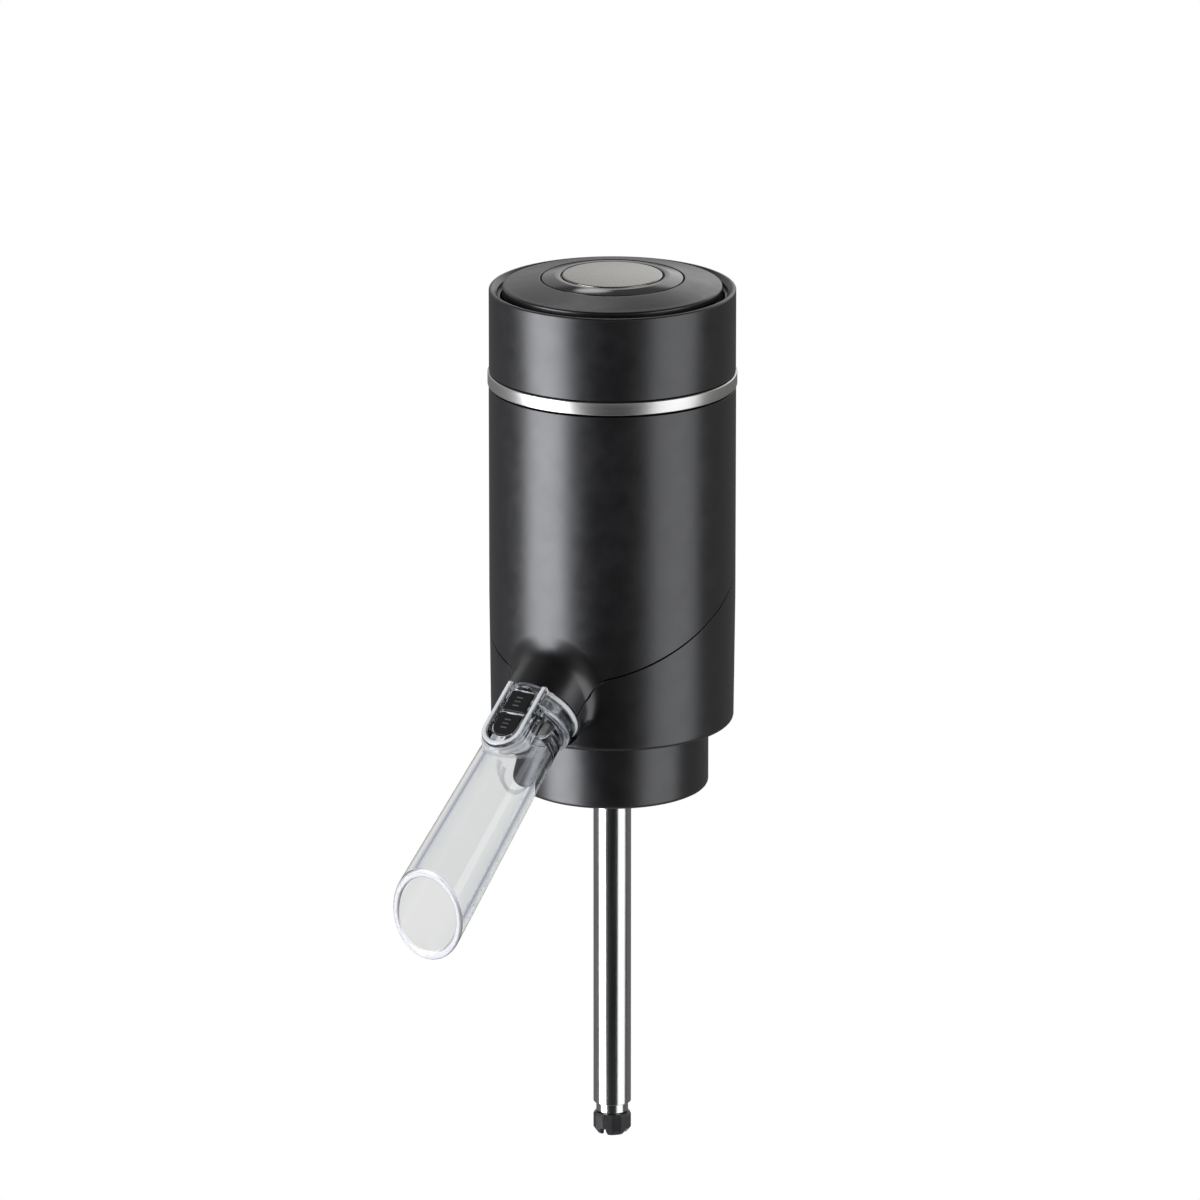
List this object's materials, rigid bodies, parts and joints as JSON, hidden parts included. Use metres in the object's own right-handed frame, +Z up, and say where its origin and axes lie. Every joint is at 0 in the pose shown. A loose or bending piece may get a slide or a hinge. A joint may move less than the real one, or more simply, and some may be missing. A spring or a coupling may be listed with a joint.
{
  "type": "electric wine aerator",
  "caption": "Battery wine aerator and pourer for a bottle neck: black cylinder with a push button on top, a steel trim band and a clear sloping spout, with a telescopic dip tube below.",
  "frame": {"origin": "centre of the bottle lip, on the underside of the stopper flange, on the body axis", "axes": "+Z up along the body axis; the spout points towards -Y; +X is to the right when looking along +Y, so the charging socket faces +Y"},
  "size_m": [0.0522, 0.101, 0.1891],
  "materials": {
    "soft_black": "soft-touch black, fine and matt",
    "rubber_black": "moulded black rubber",
    "satin_black": "satin black moulded plastic",
    "steel": "turned and brushed stainless steel",
    "screw_steel": "plain zinc-plated screw steel",
    "gloss_black": "polished black plastic",
    "warm_steel": "satin metal with a warm grey tint",
    "pump_plastic": "natural white engineering plastic",
    "board_green": "green circuit board lacquer",
    "frame_grey": "dark grey moulded plastic",
    "white_rubber": "translucent white silicone",
    "cell_sleeve": "blue shrink sleeve over a steel can",
    "wire_red": "red wire insulation",
    "clear_spout": "polished clear acrylic"
  },
  "bodies": {
    "root": {"upper_housing": "soft_black", "lower_housing": "soft_black", "neck_collar": "soft_black", "head_shell": "soft_black", "bottle_stopper": "rubber_black", "socket_seal": "rubber_black", "motor_damper": "rubber_black", "spout_seal": "rubber_black", "tube_socket": "satin_black", "top_cover": "satin_black", "switch_body": "satin_black", "motor_end_cap": "satin_black", "dip_tube_upper": "steel", "trim_band": "steel", "button_spring": "steel", "motor_can": "steel", "charge_port": "steel", "frame_screw_1": "screw_steel", "frame_screw_2": "screw_steel", "frame_screw_3": "screw_steel", "frame_screw_4": "screw_steel", "housing_screw_1": "screw_steel", "housing_screw_2": "screw_steel", "socket_screw_1": "screw_steel", "socket_screw_2": "screw_steel", "board_screw_1": "screw_steel", "board_screw_2": "screw_steel", "board_screw_3": "screw_steel", "pump_screw_1": "screw_steel", "pump_screw_2": "screw_steel", "pump_screw_3": "screw_steel", "pump_screw_4": "screw_steel", "charge_screw_1": "screw_steel", "charge_screw_2": "screw_steel", "pump_cover": "pump_plastic", "valve_plate": "pump_plastic", "pump_chamber": "pump_plastic", "check_valve": "pump_plastic", "button_board": "board_green", "charge_board": "board_green", "inner_frame": "frame_grey", "diaphragm": "white_rubber", "flow_elbow": "white_rubber", "air_hose": "white_rubber", "battery_cell": "cell_sleeve", "wire_loom": "wire_red"},
    "button": {"button_cap": "gloss_black", "button_disc": "warm_steel", "switch_plunger": "pump_plastic"},
    "rotor": {"motor_shaft": "steel", "drive_eccentric": "pump_plastic"},
    "wobble": {"wobble_plate": "satin_black"},
    "spout": {"spout": "clear_spout", "spout_pad_1": "rubber_black", "spout_pad_2": "rubber_black"},
    "dip_middle": {"dip_tube_middle": "steel"},
    "dip_lower": {"dip_tube_lower": "steel", "dip_tube_foot": "satin_black"}
  },
  "joints": [
    {"name": "button_press", "type": "slide", "parent": "root", "child": "button", "axis": [0, 0, -1], "range_m": [0, 0.0012], "stiffness_N_per_m": 1200, "deforming": ["button_spring"]},
    {"name": "motor_spin", "type": "hinge", "parent": "root", "child": "rotor", "pos_m": [0, -0.005, 0.0568], "axis": [0, 0, 1], "continuous": true},
    {"name": "wobble_rock", "type": "hinge", "parent": "root", "child": "wobble", "pos_m": [0, -0.005, 0.0388], "axis": [1, 0, 0], "range_deg": [-2.5, 2.5], "stiffness_Nm_per_rad": 0.02},
    {"name": "spout_pull", "type": "slide", "parent": "root", "child": "spout", "axis": [0, -0.8192, -0.5736], "range_m": [0, 0.012]},
    {"name": "dip_middle_slide", "type": "slide", "parent": "root", "child": "dip_middle", "axis": [0, 0, -1], "range_m": [0, 0.08]},
    {"name": "dip_lower_slide", "type": "slide", "parent": "dip_middle", "child": "dip_lower", "axis": [0, 0, -1], "range_m": [0, 0.08]}
  ]
}
